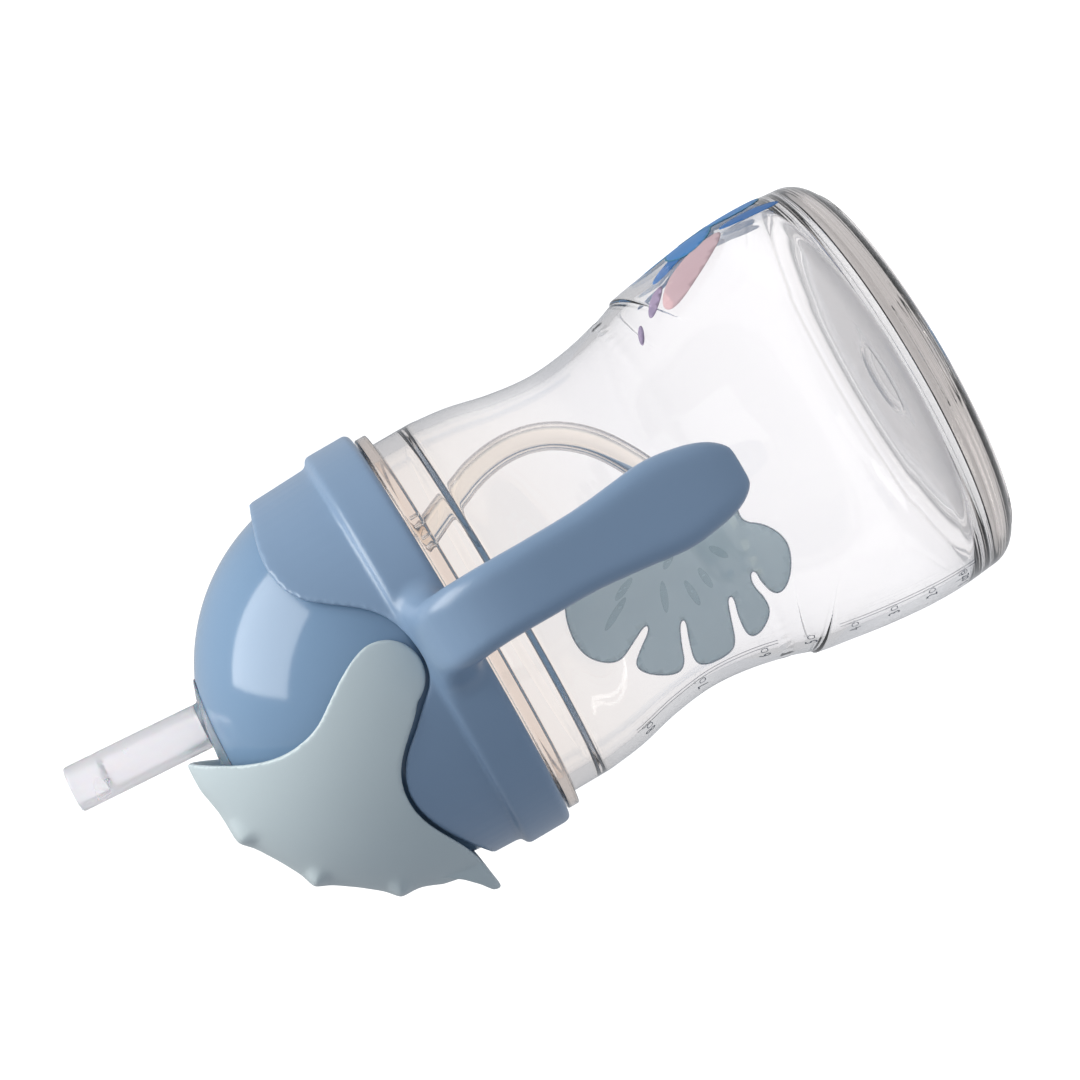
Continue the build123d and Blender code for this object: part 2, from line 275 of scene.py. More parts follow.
def let_lamps_through(tree, shader, share):
    """Lamps shine through this material, and a ray past that many bounces ends in a painted grey glow."""
    path = node(tree, "ShaderNodeLightPath")
    deep_ray = node(tree, "ShaderNodeMath", operation="GREATER_THAN")
    deep_ray.inputs[1].default_value = PAINTED_GLOW_AFTER
    link(path.outputs["Ray Depth"], deep_ray.inputs[0])
    glow = node(tree, "ShaderNodeEmission", in_Color=PAINTED_GLOW_GREY)
    ending = node(tree, "ShaderNodeMixShader")
    link(deep_ray.outputs[0], ending.inputs["Fac"])
    link(shader.outputs["BSDF"], ending.inputs[1])
    link(glow.outputs["Emission"], ending.inputs[2])
    clear = node(tree, "ShaderNodeBsdfTransparent", in_Color=(share, share, share, 1))
    mix = node(tree, "ShaderNodeMixShader")
    link(path.outputs["Is Shadow Ray"], mix.inputs["Fac"])
    link(ending.outputs["Shader"], mix.inputs[1])
    link(clear.outputs["BSDF"], mix.inputs[2])
    link(mix.outputs["Shader"], tree.nodes["Material Output"].inputs["Surface"])


SURFACE_WAVE = 0.00003  # metres


def clear_material(name, tint, roughness, ior, absorb, density):
    """Clear plastic with a faintly wavy skin, which tints light along its way through the wall."""
    mat, tree, shader = material(name, tint, roughness, Transmission_Weight=1.0, IOR=ior)
    volume = node(tree, "ShaderNodeVolumeAbsorption", in_Color=(*absorb, 1), in_Density=density)
    link(volume.outputs["Volume"], tree.nodes["Material Output"].inputs["Volume"])
    add_bump(tree, shader, noise_texture(tree, scale=55, detail=1), SURFACE_WAVE)
    let_lamps_through(tree, shader, share=0.95)
    return mat


def tint_by_height(mat, span, stops):
    """Changes a clear wall's colour with its height; stops are (height in metres, colour)."""
    tree = mat.node_tree
    place = node(tree, "ShaderNodeTexCoord")
    axes = node(tree, "ShaderNodeSeparateXYZ")
    link(place.outputs["Object"], axes.inputs["Vector"])
    scaled = node(tree, "ShaderNodeMath", operation="DIVIDE")
    scaled.inputs[1].default_value = span
    link(axes.outputs["Z"], scaled.inputs[0])
    ramp = node(tree, "ShaderNodeValToRGB")
    elements = ramp.color_ramp.elements
    while len(elements) < len(stops):
        elements.new(0.5)
    for element, (height, tint) in zip(elements, stops):
        element.position = height / span
        element.color = (*tint, 1)
    link(scaled.outputs[0], ramp.inputs["Fac"])
    link(ramp.outputs["Color"], tree.nodes["Principled BSDF"].inputs["Base Color"])


def shade_rims(mat, middle, rim):
    """Makes a clear tube's walls darker where they are seen edge-on."""
    tree = mat.node_tree
    facing = node(tree, "ShaderNodeLayerWeight", in_Blend=0.5).outputs["Facing"]
    shade_between(tree, tree.nodes["Principled BSDF"], facing, (middle, rim), (0.2, 0.46))


def silicone(name, color, roughness, through, grain):
    """Milky silicone: light spreads inside it, and the skin is matt."""
    mat, tree, shader = material(
        name, color, roughness, Transmission_Weight=through, IOR=1.3,
        Subsurface_Weight=0.3, Subsurface_Scale=0.003,
    )
    add_bump(tree, shader, noise_texture(tree, scale=1500, detail=3), grain)
    clouds = noise_texture(tree, scale=160, detail=2)
    vary(tree, shader, "Roughness", clouds, roughness * 0.85, roughness * 1.15)
    let_lamps_through(tree, shader, share=0.8)
    return mat


def turned_steel():
    """Bright steel with a fine grain."""
    mat, tree, shader = material("turned_steel", (0.62, 0.62, 0.63), 0.3, Metallic=1.0)
    add_bump(tree, shader, noise_texture(tree, scale=3000, detail=2), 0.000004)
    return mat


PLAIN_WALL = (0.995, 0.995, 1.0)
# painted shade: a grey tint on the base's inner floor, so the base looks shaded from inside
BASE_PAINTED_SHADE = (0.72, 0.715, 0.71)
TINT_SPAN = 0.1  # metres
# (height in metres, colour): painted shade as a grey band at the base's inner floor, warmer towards the
# collar, amber in the flange
WALL_TINTS = [
    (0.0044, PLAIN_WALL),
    (0.0047, BASE_PAINTED_SHADE),
    (0.0052, BASE_PAINTED_SHADE),
    (0.0056, PLAIN_WALL),
    (0.050, PLAIN_WALL),
    (0.078, (1.0, 0.985, 0.968)),
    (0.0866, (1.0, 0.972, 0.945)),
    (0.0872, (0.89, 0.79, 0.715)),
]
CLEAR = clear_material(
    "clear_plastic", (1.0, 1.0, 1.0), roughness=0.0, ior=1.49, absorb=(0.78, 0.68, 0.60), density=9,
)
tint_by_height(CLEAR, TINT_SPAN, WALL_TINTS)
CLEAR_FITTING = clear_material(
    "clear_fitting", (0.97, 0.97, 0.97), roughness=0.08, ior=1.49, absorb=(0.62, 0.6, 0.58), density=40,
)
TUBE_TINT = (0.99, 0.975, 0.95)
SILICONE_TUBE = clear_material(
    "silicone_tube", TUBE_TINT, roughness=0.0, ior=1.35, absorb=(0.85, 0.45, 0.12), density=60,
)
shade_rims(SILICONE_TUBE, middle=TUBE_TINT, rim=(0.40, 0.44, 0.50))
SILICONE = silicone("silicone_frosted", (0.93, 0.925, 0.945), roughness=0.3, through=0.9, grain=0.00001)
SILICONE_CLEAR = silicone("silicone_clear", (0.32, 0.39, 0.46), roughness=0.12, through=0.55, grain=0.000003)
BLUE_SATIN = moulded_plastic(
    "blue_satin", (0.222, 0.322, 0.457), (0.215, 0.314, 0.446), roughness=0.3, grain=0.000006,
)
BLUE_GLOSS = moulded_plastic(
    "blue_gloss", (0.193, 0.303, 0.44), (0.185, 0.293, 0.428), roughness=0.11, grain=0.0000006,
    Specular_IOR_Level=0.43,
)
GREY_GREEN = moulded_plastic(
    "grey_green_satin", (0.53, 0.607, 0.62), (0.518, 0.595, 0.607), roughness=0.42, grain=0.000008,
)
STEEL = turned_steel()

# ---- straw
# the straw's route in the plane x = 0, repeated from the CAD
ROUTE = [
    (-11.74, 105.35), (-12.97, 97.6), (-14.8, 89.5), (-19.2, 80.5), (-22.6, 70.5),
    (-21.6, 61.3), (-16.2, 53.8), (-8.2, 48.9), (-1.8, 46.6), (4.2, 45.7),
]
STRAW_R = 2.5
STRAW_BORE_R = 1.7
STRAW_COLUMNS = 48


def smooth_route():
    """Points along the straw's middle line, read from its NURBS spline, in millimetres."""
    curve = bpy.data.curves.new("straw_line", "CURVE")
    curve.dimensions = "3D"
    curve.resolution_u = 14
    spline = curve.splines.new("NURBS")
    spline.points.add(len(ROUTE) - 1)
    for point, (y, z) in zip(spline.points, ROUTE):
        point.co = (0, y * MM, z * MM, 1)
    spline.order_u = 3
    spline.use_endpoint_u = True
    line = new_piece("straw_line", curve)
    mesh = bpy.data.meshes.new_from_object(line)
    points = np.array([v.co for v in mesh.vertices]) / MM
    bpy.data.objects.remove(line)
    bpy.data.meshes.remove(mesh)
    return points


def tube_rows(path, radius):
    """Rings of that radius round a path in the plane x = 0."""
    ahead = np.gradient(path, axis=0)
    ahead /= np.linalg.norm(ahead, axis=1)[:, None]
    side = np.tile((1.0, 0.0, 0.0), (len(path), 1))
    other = np.cross(ahead, side)
    turn = np.linspace(0, tau, STRAW_COLUMNS, endpoint=False)
    around = np.cos(turn)[None, :, None] * side[:, None] + np.sin(turn)[None, :, None] * other[:, None]
    return path[:, None] + radius * around


def make_straw():
    """The limp straw from the connector under the spout to its weight."""
    path = smooth_route()
    outside = tube_rows(path, STRAW_R)
    inside = tube_rows(path, STRAW_BORE_R)[::-1]
    straw = ring_piece("straw", np.concatenate([outside, inside]), wrap_rows=True)
    finish_piece(straw, "lid", SILICONE_TUBE, ["straw_tube"])


# ---- bottle
WALL = 2.0
BOTTLE_COLUMNS = 240
NECK_Z = 79.0
NECK_R = 34.05
# (height, radius) of the round barrel
BARREL = [(5.5, 37.3), (11, 37.8), (16, 37.85), (24, 37.2), (32, 36.0), (39.5, 34.4), (43.5, 33.0)]
# (height, half width) of the oval waist, along X and along Y
WAIST_ACROSS = [
    (-1, 45), (8, 42.5), (16, 39.6), (24, 37.2), (33.5, 34.7), (43.5, 31.6), (50, 30),
    (57, 29.6), (65, 30.9), (73, 33.1), (NECK_Z, NECK_R),
]
WAIST_DEEP = [
    (-1, 48.2), (8, 45.5), (16, 42.6), (24, 39.8), (33.5, 36.7), (43.5, 33), (50, 31.5),
    (57, 30.8), (65, 31.6), (73, 33.35), (NECK_Z, NECK_R),
]
CREASE_WIDTH = 0.5  # over which barrel and waist blend at the front and back
CREASE_WIDENS = 2.6  # added to that under the handles
SHOULDER = 0.45  # how far the barrel stands proud just below the crease
SHOULDER_FADE = 3.0
CORNER_TOP = BARREL[0][0]  # the base's rounded corner, outside and inside
CORNER_R = 5.45
INSIDE_CORNER_TOP = 11.0
# (radius, height) along the skin: under the base, up the neck, over the rim, down to the floor
BASE = [
    (0, 2.6), (2, 2.6), (4, 2.6), (5.8, 2.6), (6, 2.5), (6.2, 2.2), (6.5, 2.1), (6.8, 2.2),
    (7, 2.5), (7.2, 2.6), (11, 2.6), (15, 2.6), (20, 2.6), (25, 2.6), (27.6, 2.6),
    (28.5, 2.52), (29.2, 2.2), (30.2, 1.4), (31.2, 0.55), (31.8, 0.14), (32.3, 0), (33, 0),
    (33.6, 0.03),
]
NECK = [(34.1, z) for z in (80.0, 82.0, 84.0, 86.0, 86.5, 86.65)]
NECK += [
    (34.13, 86.75), (34.2, 86.84), (34.32, 86.9), (34.5, 86.92), (35, 86.92), (35.6, 86.92),
    (35.9, 86.92), (36.05, 86.94), (36.14, 87), (36.19, 87.08), (36.2, 87.2), (36.2, 87.5),
    (36.2, 88.4), (36.2, 88.75), (36.17, 88.85), (36.1, 88.95), (35.95, 89), (35.7, 89),
    (34.4, 89), (33.5, 89.05), (33.25, 89.3),
]
RIM = [(33.2, 98.1), (33.0, 98.4), (32.6, 98.5), (31.8, 98.5), (31.4, 98.4), (31.2, 98.1)]
BORE = [(31.2, z) for z in (96, 93, 90, 88, 86, 84, 82.4, 82.0)]
BORE += [
    (31.22, 81.8), (31.3, 81.6), (31.5, 81.3), (31.8, 80.95), (31.98, 80.7),
    (32.03, 80.5), (32.05, 80.2), (32.05, 79.9),
]
FLOOR = [
    (35.75, 9.8), (35.3, 8.4), (34.6, 7.2), (33.6, 6.2), (32.3, 5.5), (30.8, 5.05), (29, 4.92),
    (26, 4.9), (20, 4.9), (12, 4.9), (8.4, 4.9), (7.6, 4.9), (7.3, 4.96), (7.05, 5.15), (6.7, 5.3),
    (6.35, 5.15), (6.1, 4.96), (5.8, 4.9), (5, 4.9), (2.5, 4.9), (0, 4.9),
]
FINISH_R = 33.2  # the threaded part of the neck
FINISH_HEIGHTS = np.arange(89.6, 98.0, 0.3)
THREAD_START = 91.4
THREAD_PITCH = 5.0
THREAD_DEPTH = 1.2
THREAD_HALF = 1.0  # half the ridge's width at its foot
THREAD_FLANK = 0.5
THREAD_RUN_OUT = radians(10)
CREASE_GAP = 0.012  # share of the waist left out, so that no two rings coincide


def waist_radius(phi, z):
    """The waist's radius in that direction."""
    across = curve_at(WAIST_ACROSS, z)
    deep = curve_at(WAIST_DEEP, z)
    return 1 / np.sqrt((np.cos(phi) / across) ** 2 + (np.sin(phi) / deep) ** 2)


def wall_radius(phi, z):
    """The bottle's outside radius in that direction, from the base corner to the neck."""
    barrel = curve_at(BARREL, np.clip(z, BARREL[0][0], BARREL[-1][0]))
    waist = waist_radius(phi, z)
    both = smooth_min(barrel, waist, CREASE_WIDTH + CREASE_WIDENS * np.cos(phi) ** 2)
    return np.where(z < BARREL[-1][0], both, waist)


def crease_height(phi):
    """Where the waist cuts the barrel, in each direction."""
    heights = np.linspace(20, BARREL[-1][0], 400)
    cut = curve_at(BARREL, heights)[:, None] > waist_radius(phi[None, :], heights[:, None])
    return np.where(cut.any(0), heights[np.argmax(cut, axis=0)], heights[-1])


def barrel_height(crease, bottom, t):
    """From the bottom to the crease as t goes from 0 to 1, in ever smaller steps."""
    return bottom + (crease - bottom) * (1 - (1 - t) ** 1.6)


def waist_height(crease, t):
    """From the crease to the neck as t goes from 0 to 1, in ever larger steps."""
    return crease + (NECK_Z - crease) * t**1.5


def thread_rise(phi, z):
    """How far the screw ridge stands out of the neck finish; it starts at +X and makes one turn."""
    off = np.abs(z - THREAD_START - THREAD_PITCH * phi / tau)
    ends = np.clip(np.minimum(phi, tau - phi) / THREAD_RUN_OUT, 0, 1)
    return THREAD_DEPTH * np.clip((THREAD_HALF - off) / THREAD_FLANK, 0, 1) * ends


def ring(phi, radius, z):
    """A ring of points; its radius and height may change with the direction."""
    radius = np.broadcast_to(radius, phi.shape)
    z = np.broadcast_to(z, phi.shape)
    return np.stack([radius * np.cos(phi), radius * np.sin(phi), z], -1)


def bottle_rows():
    """Rings from the middle of the base, up the outside, over the rim and down the inside."""
    phi = np.linspace(0, tau, BOTTLE_COLUMNS, endpoint=False)
    crease = crease_height(phi)
    corner = arc((BARREL[0][1] - CORNER_R, CORNER_TOP), CORNER_R, -72, -3, 10)
    rows = [ring(phi, radius, z) for radius, z in (*BASE, *corner)]
    for t in np.linspace(0, 1, 48):
        z = barrel_height(crease, CORNER_TOP, t)
        proud = SHOULDER * np.sin(phi) ** 6 * np.exp(-(crease - z) / SHOULDER_FADE) * min(1, (1 - t) * 20)
        rows.append(ring(phi, wall_radius(phi, z) + proud, z))
    for t in np.linspace(CREASE_GAP, 1, 56):
        z = waist_height(crease, t)
        rows.append(ring(phi, wall_radius(phi, z), z))
    rows += [ring(phi, radius, z) for radius, z in NECK]
    rows += [ring(phi, FINISH_R + thread_rise(phi, z), z) for z in FINISH_HEIGHTS]
    rows += [ring(phi, radius, z) for radius, z in RIM + BORE]
    for t in np.linspace(1, CREASE_GAP, 46):
        z = waist_height(crease, t)
        rows.append(ring(phi, wall_radius(phi, z) - WALL, z))
    for t in np.linspace(1, 0, 38):
        z = barrel_height(crease, INSIDE_CORNER_TOP, t)
        rows.append(ring(phi, wall_radius(phi, z) - WALL, z))
    rows += [ring(phi, radius, z) for radius, z in FLOOR]
    return np.array(rows)


def make_bottle():
    """The clear bottle, with its wall's real thickness."""
    bottle = ring_piece("bottle_clear", bottle_rows())
    finish_piece(bottle, "bottle", CLEAR, ["bottle"])


# ---- remeshed mouldings
def remeshed(source, name, voxel, passes):
    """A CAD node's shape as an even mesh, with its edges eased by smoothing."""
    mesh = nodes[source].data.copy()
    mesh.name = name
    piece = new_piece(name, mesh)
    weld = piece.modifiers.new("weld", "WELD")
    weld.merge_threshold = 1e-6
    remesh = piece.modifiers.new("remesh", "REMESH")
    remesh.mode = "VOXEL"
    remesh.voxel_size = voxel * MM
    remesh.use_smooth_shade = True
    ease = piece.modifiers.new("ease", "SMOOTH")
    ease.factor = 0.5
    ease.iterations = passes
    graph = bpy.context.evaluated_depsgraph_get()
    final = bpy.data.meshes.new_from_object(piece.evaluated_get(graph))
    piece.modifiers.clear()
    piece.data = final
    final.name = name
    return piece


def coordinates(piece):
    """The piece's vertices, in millimetres."""
    flat = np.empty(len(piece.data.vertices) * 3)
    piece.data.vertices.foreach_get("co", flat)
    return flat.reshape(-1, 3) / MM


def set_coordinates(piece, points):
    """Moves the piece's vertices; points are in millimetres."""
    piece.data.vertices.foreach_set("co", (points * MM).ravel())
    piece.data.update()


EASE_STEP = 0.6  # share of the way to the neighbours' middle in one pass


def ease_where(piece, chosen, passes):
    """Smooths only the chosen vertices, so that one moulding grows out of another."""
    mesh = piece.data
    edges = np.empty(len(mesh.edges) * 2, int)
    mesh.edges.foreach_get("vertices", edges)
    near, far = edges.reshape(-1, 2).T
    points = coordinates(piece)
    share = chosen(points)[:, None]
    count = np.bincount(np.concatenate([near, far]), minlength=len(points))[:, None]
    for _ in range(passes):
        total = np.zeros_like(points)
        np.add.at(total, near, points[far])
        np.add.at(total, far, points[near])
        points = points + share * EASE_STEP * (total / count - points)
    set_coordinates(piece, points)


HANDLE_END_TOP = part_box("collar")[0][2] / MM + 18.0
GRIP_HALF_WIDTH = 7.5
GRIP_FROM = 41.0  # along X, where the edges start to move
GRIP_FULL = 46.0  # and where they move in full
# (height, how far that edge of a grip moves towards the front)
GRIP_FRONT_EDGE = [
    (42, 0.2), (48.5, 0.55), (55, 1.05), (60, 0.95), (67, 0.5), (76, 0.4), (86, 0.45), (96, 0),
]
GRIP_REAR_EDGE = [
    (42, 0.3), (48.5, 0.35), (54, 0.05), (62, 0.5), (70, 1.25), (78, 1.3), (86, 1.25), (96, 0),
]


def shape_grips(collar):
    """Moves the grips' edges, so that each grip narrows and leans a little above its end."""
    points = coordinates(collar)
    x, y, z = points.T
    side = np.clip(y / GRIP_HALF_WIDTH, -1, 1)
    height = np.clip(z, GRIP_FRONT_EDGE[0][0], GRIP_FRONT_EDGE[-1][0])
    front = curve_at(GRIP_FRONT_EDGE, height)
    rear = curve_at(GRIP_REAR_EDGE, height)
    shift = np.abs(side) * np.where(side < 0, front, rear)
    points[:, 1] = y - shift * fade(np.abs(x), GRIP_FROM, GRIP_FULL)
    set_coordinates(collar, points)


def make_collar():
    """Screw band, shroud and both handles in one moulding."""
    collar = remeshed("collar", "collar_moulding", voxel=0.45, passes=5)
    shape_grips(collar)

    def handle_roots(points):
        x, _, z = np.abs(points).T
        return fade(x, 36.2, 38.2) * fade(x, 50.0, 44.0) * fade(z, 84.0, 88.0)

    def handle_ends(points):
        x, z = np.abs(points[:, 0]), points[:, 2]
        return fade(x, 42.0, 45.0) * fade(z, HANDLE_END_TOP, HANDLE_END_TOP - 8.0)

    ease_where(collar, handle_roots, passes=26)
    ease_where(collar, handle_ends, passes=6)
    finish_piece(collar, "lid", BLUE_SATIN, ["collar"])


DOME_CENTRE = np.array((0, 0, 101.4))
DOME_R = 34.6
DOME_SKIN = 0.12  # how near the sphere the outer skin's vertices lie


def make_dome():
    """The remeshed dome, with its outer skin put back exactly on its sphere."""
    dome = remeshed("dome", "dome_shell", voxel=0.55, passes=3)
    points = coordinates(dome)
    arm = points - DOME_CENTRE
    reach = np.linalg.norm(arm, axis=1)
    skin = (np.abs(reach - DOME_R) < DOME_SKIN) & (arm[:, 2] > 0.5)
    points[skin] = DOME_CENTRE + arm[skin] * (DOME_R / reach[skin])[:, None]
    set_coordinates(dome, points)
    finish_piece(dome, "lid", BLUE_GLOSS, ["dome"])


HINGE_CENTRE = np.array((0, 1.0, 104.6))
COVER_R = 36.6
COVER_MIDDLE_R = 35.9  # between the cover's inside and its outside
COVER_HALF_WIDTH = 18.0
# the ribs lie across the cover; degrees from +Z towards +Y, seen from the hinge's centre
FIRST_RIB = 18.4
RIB_STEP = 22.8
RIBBED_TO = 76.0
# places along the cover in rib steps from the first rib
LAST_RIB = 2
PLAIN_BEFORE = -0.42
PLAIN_AFTER = 2.25
# how fast the outer two ribs fall away, in crests per step
FALL_BEFORE = 1.2
FALL_AFTER = 2.0
CREST_WIDTH = 0.27  # of half a step
RIB_RISE = 0.85
SCALLOP = 1.5  # from a rib's crest down to the middle of the next hollow
# places and widths across the cover, in degrees from its middle
RIB_HALF = 23.0
NUB_AT = 18.0  # each rib ends in a small nub
NUB_HALF = 5.0
NUB_RISE = 0.8  # share added to the rib's height
HOLLOW_HALF = 17.0
RIBBED_HALF = 40.0


def scalloped(along, across):
    """The cover's outside radius: hollows between crests along the middle, plain at the sides."""
    turn = (along - FIRST_RIB) / RIB_STEP
    near = np.abs(2 * (turn - np.floor(turn)) - 1)
    near = np.where(turn < 0, np.clip(1 + turn * FALL_BEFORE, 0, 1), near)
    near = np.where(turn > LAST_RIB, np.clip(1 - (turn - LAST_RIB) * FALL_AFTER, 0, 1), near)
    crest = 0.6 * near**1.6 + 0.4 * bell(1 - near, CREST_WIDTH)
    profile = RIB_RISE - SCALLOP + SCALLOP * crest
    profile = np.where((turn < PLAIN_BEFORE) | (turn > PLAIN_AFTER), np.minimum(profile, 0), profile)
    plain = fade(turn, PLAIN_BEFORE, PLAIN_BEFORE - 0.3) + fade(turn, PLAIN_AFTER, PLAIN_AFTER + 0.25)
    profile *= 1 - np.clip(plain, 0, 1)
    nub = 1 + NUB_RISE * bell(np.abs(across) - NUB_AT, NUB_HALF)
    rise = np.maximum(profile, 0) * bell(across, RIB_HALF, power=6) * nub
    dip = np.minimum(profile, 0) * bell(across, HOLLOW_HALF)
    return COVER_R + rise + dip


def make_cover():
    """The flip cover, scalloped along its middle between three soft ribs."""
    cover = remeshed("flip_cover", "cover_moulding", voxel=0.36, passes=4)
    points = coordinates(cover)
    arm = points - HINGE_CENTRE
    reach = np.linalg.norm(arm, axis=1)
    along = np.degrees(np.arctan2(arm[:, 1], arm[:, 2]))
    across = np.degrees(np.arcsin(np.clip(arm[:, 0] / reach, -1, 1)))
    target = scalloped(along, across)
    skin = (reach > COVER_R - 0.25) & (reach < COVER_R + 1.0)
    skin &= (along < RIBBED_TO) & (np.abs(across) < RIBBED_HALF)
    points[skin] = HINGE_CENTRE + arm[skin] * (target / reach)[skin][:, None]
    set_coordinates(cover, points)

    def outside(points):
        arm = points - HINGE_CENTRE
        outer = np.linalg.norm(arm, axis=1) > COVER_MIDDLE_R
        return 1.0 * (outer & (np.abs(arm[:, 0]) < COVER_HALF_WIDTH))

    ease_where(cover, outside, passes=3)
    finish_piece(cover, "cover", GREY_GREEN, ["flip_cover"])


# ---- spout
SPOUT_FOOT = np.array((0, -7.2, 134.0))
SPOUT_LEAN = radians(4.0)
SPOUT_AXIS = np.array((0, -sin(SPOUT_LEAN), cos(SPOUT_LEAN)))
SOCKET_LEAN = radians(9.0)
SOCKET_AXIS = np.array((0, -sin(SOCKET_LEAN), -cos(SOCKET_LEAN)))
SPOUT_LENGTH = 25.8
SPOUT_R = 4.02
SPOUT_BULGE = 0.08  # what the radius gains towards the tip
SPOUT_BORE_R = 2.6
SPOUT_SPLIT = 1.4  # along the tube, where the folding part starts
SPOUT_COLUMNS = 72
# (distance below the tip, radius) over the lip, from the outside in
SPOUT_LIP = [
    (0.45, 4.08), (0.2, 3.98), (0.05, 3.8), (0, 3.55), (0, 3.1), (0.08, 2.85), (0.3, 2.68),
    (0.8, 2.62),
]
MEMBRANE_AT = SPOUT_LENGTH - 6.2
MEMBRANE_THICKNESS = 0.7
# (height, radius) of the membrane's domed face
CROWN = [(0.3, 2.2), (0.6, 1.75), (0.85, 1.2), (1.0, 0.6), (1.05, 0.0)]


def rings_on(foot, axis, profile):
    """Rings from (distance along the axis, radius) pairs; the first direction is +X."""
    turn = np.linspace(0, tau, SPOUT_COLUMNS, endpoint=False)
    side = np.array((1.0, 0, 0))
    other = np.cross(axis, side)
    circle = np.cos(turn)[:, None] * side + np.sin(turn)[:, None] * other
    return np.array([foot + along * axis + radius * circle for along, radius in profile])


def make_spout_tube():
    """The soft drinking tube, with a membrane inside near its tip."""
    top = [(SPOUT_SPLIT, 3.98)]
    for t in np.linspace(2.2, SPOUT_LENGTH - 0.7, 22):
        top.append((t, SPOUT_R + SPOUT_BULGE * sin(pi * (t - 2) / 40)))
    top += [(SPOUT_LENGTH - below, radius) for below, radius in SPOUT_LIP]
    top += [(MEMBRANE_AT + 1.0, 2.6), (MEMBRANE_AT + 0.5, 2.58), (MEMBRANE_AT + 0.25, 2.48)]
    top += [(MEMBRANE_AT + rise, radius) for rise, radius in CROWN]
    low = [(MEMBRANE_AT + rise - MEMBRANE_THICKNESS, radius) for rise, radius in reversed(CROWN)]
    low += [(MEMBRANE_AT - 0.6, 2.48), (MEMBRANE_AT - 0.9, 2.58), (MEMBRANE_AT - 1.4, 2.6)]
    low += [(height, SPOUT_BORE_R) for height in (6.0, 2.2, SPOUT_SPLIT)]
    outer = rings_on(SPOUT_FOOT, SPOUT_AXIS, top)
    inner = rings_on(SPOUT_FOOT, SPOUT_AXIS, low)
    start = len(outer) * SPOUT_COLUMNS
    last = start + (len(inner) - 1) * SPOUT_COLUMNS
    faces = grid_faces(len(outer), SPOUT_COLUMNS)
    faces += [tuple(start + i for i in face) for face in grid_faces(len(inner), SPOUT_COLUMNS)]
    for c in range(SPOUT_COLUMNS):
        d = (c + 1) % SPOUT_COLUMNS
        faces.append((c, d, last + d, last + c))
    points = np.concatenate([outer, inner]).reshape(-1, 3)
    tube = mesh_of("spout_tube", points, faces)
    finish_piece(tube, "lid", SILICONE)
    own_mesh(tube)


PLUG_MIDDLE = -3.0  # the plug's place along Y
LIP_MIDDLE = -1.5  # its thin lip reaches further back
LIP_R = 34.86  # from the dome's centre
# (half width, half depth, distance from the dome's centre) of each oval ring
PLUG_TOP = (11.7, 12.9, LIP_R)
PLUG_LIP = [(12.1, 13.3, LIP_R), (12.3, 13.45, 34.8), (12.35, 13.5, 34.72), (12.2, 13.4, 34.66)]
PLUG_NECK = [
    (9.8, 11.95, 34.66), (9.38, 11.88, 34.4), (9.38, 11.88, 32.75), (11.6, 14.1, 32.7),
    (12, 14.5, 32.4), (11.8, 14.3, 31), (8.5, 10, 30.9),
]
# (distance along its axis, radius) of the socket for the straw's connector
SOCKET = [
    (3.2, 5.2), (4.2, 4.6), (6, 4.5), (15.5, 4.5), (15.9, 4.3), (16, 3.9), (16, 3),
    (15.8, 2.65), (12, 2.6), (2, 2.6),
]


def oval_ring(half_x, half_y, radius, middle):
    """An oval ring round that place along Y, at that distance from the dome's centre."""
    turn = np.linspace(0, tau, SPOUT_COLUMNS, endpoint=False)
    x = half_x * np.cos(turn)
    y = middle + half_y * np.sin(turn)
    return np.stack([x, y, DOME_CENTRE[2] + np.sqrt(radius**2 - x**2 - y**2)], -1)


def make_spout_plug():
    """The oval plug that seals the dome, the foot of the tube, and the straw's socket."""
    foot = SPOUT_FOOT + SPOUT_SPLIT * SPOUT_AXIS
    root = [(0, SPOUT_BORE_R), (0, 3.98), (-0.6, 4.05), (-0.95, 4.35)]
    rows = list(rings_on(foot, SPOUT_AXIS, root))
    start, edge = rows[-1], oval_ring(*PLUG_TOP, LIP_MIDDLE)
    for t in np.linspace(0.12, 1, 9):
        flat = start + (edge - start) * t
        arm = flat - DOME_CENTRE
        reach = np.linalg.norm(arm, axis=1)[:, None]
        sag = LIP_R - 0.1 * sin(pi * t)
        settled = DOME_CENTRE + arm * (sag / reach)
        rows.append(flat + (settled - flat) * min(1, t * 3))
    rows += [oval_ring(*size, LIP_MIDDLE) for size in PLUG_LIP]
    rows += [oval_ring(*size, PLUG_MIDDLE) for size in PLUG_NECK]
    # the socket points down, so its rings run the other way round
    socket = rings_on(SPOUT_FOOT, SOCKET_AXIS, SOCKET)[:, ::-1]
    rows += list(np.roll(socket, 1, axis=1))
    plug = ring_piece("spout_plug", np.array(rows), wrap_rows=True)
    finish_piece(plug, "lid", SILICONE_CLEAR, ["spout"])


# ---- prints and marks on the wall
PRINT_LIFT = (0.005, 0.02)  # a print's underside and its face, outside the wall
PRINT_STEP = 0.02  # how much further out each print over another one lies


def on_wall(facing, across, z, lift):
    """Points on the bottle's outside; across is measured sideways as seen from that direction."""
    phi = np.full(np.shape(across), facing, float)
    for _ in range(4):
        phi = facing + np.arcsin(np.clip(across / wall_radius(phi, z), -0.98, 0.98))
    radius = wall_radius(phi, z) + lift
    return np.stack([radius * np.cos(phi), radius * np.sin(phi), z], -1)


def rounded(points, passes=3):
    """A closed outline with its corners cut, over and over."""
    points = np.asarray(points, float)
    for _ in range(passes):
        following = np.roll(points, -1, axis=0)
        corners = (0.75 * points + 0.25 * following, 0.25 * points + 0.75 * following)
        points = np.stack(corners, 1).reshape(-1, 2)
    return points


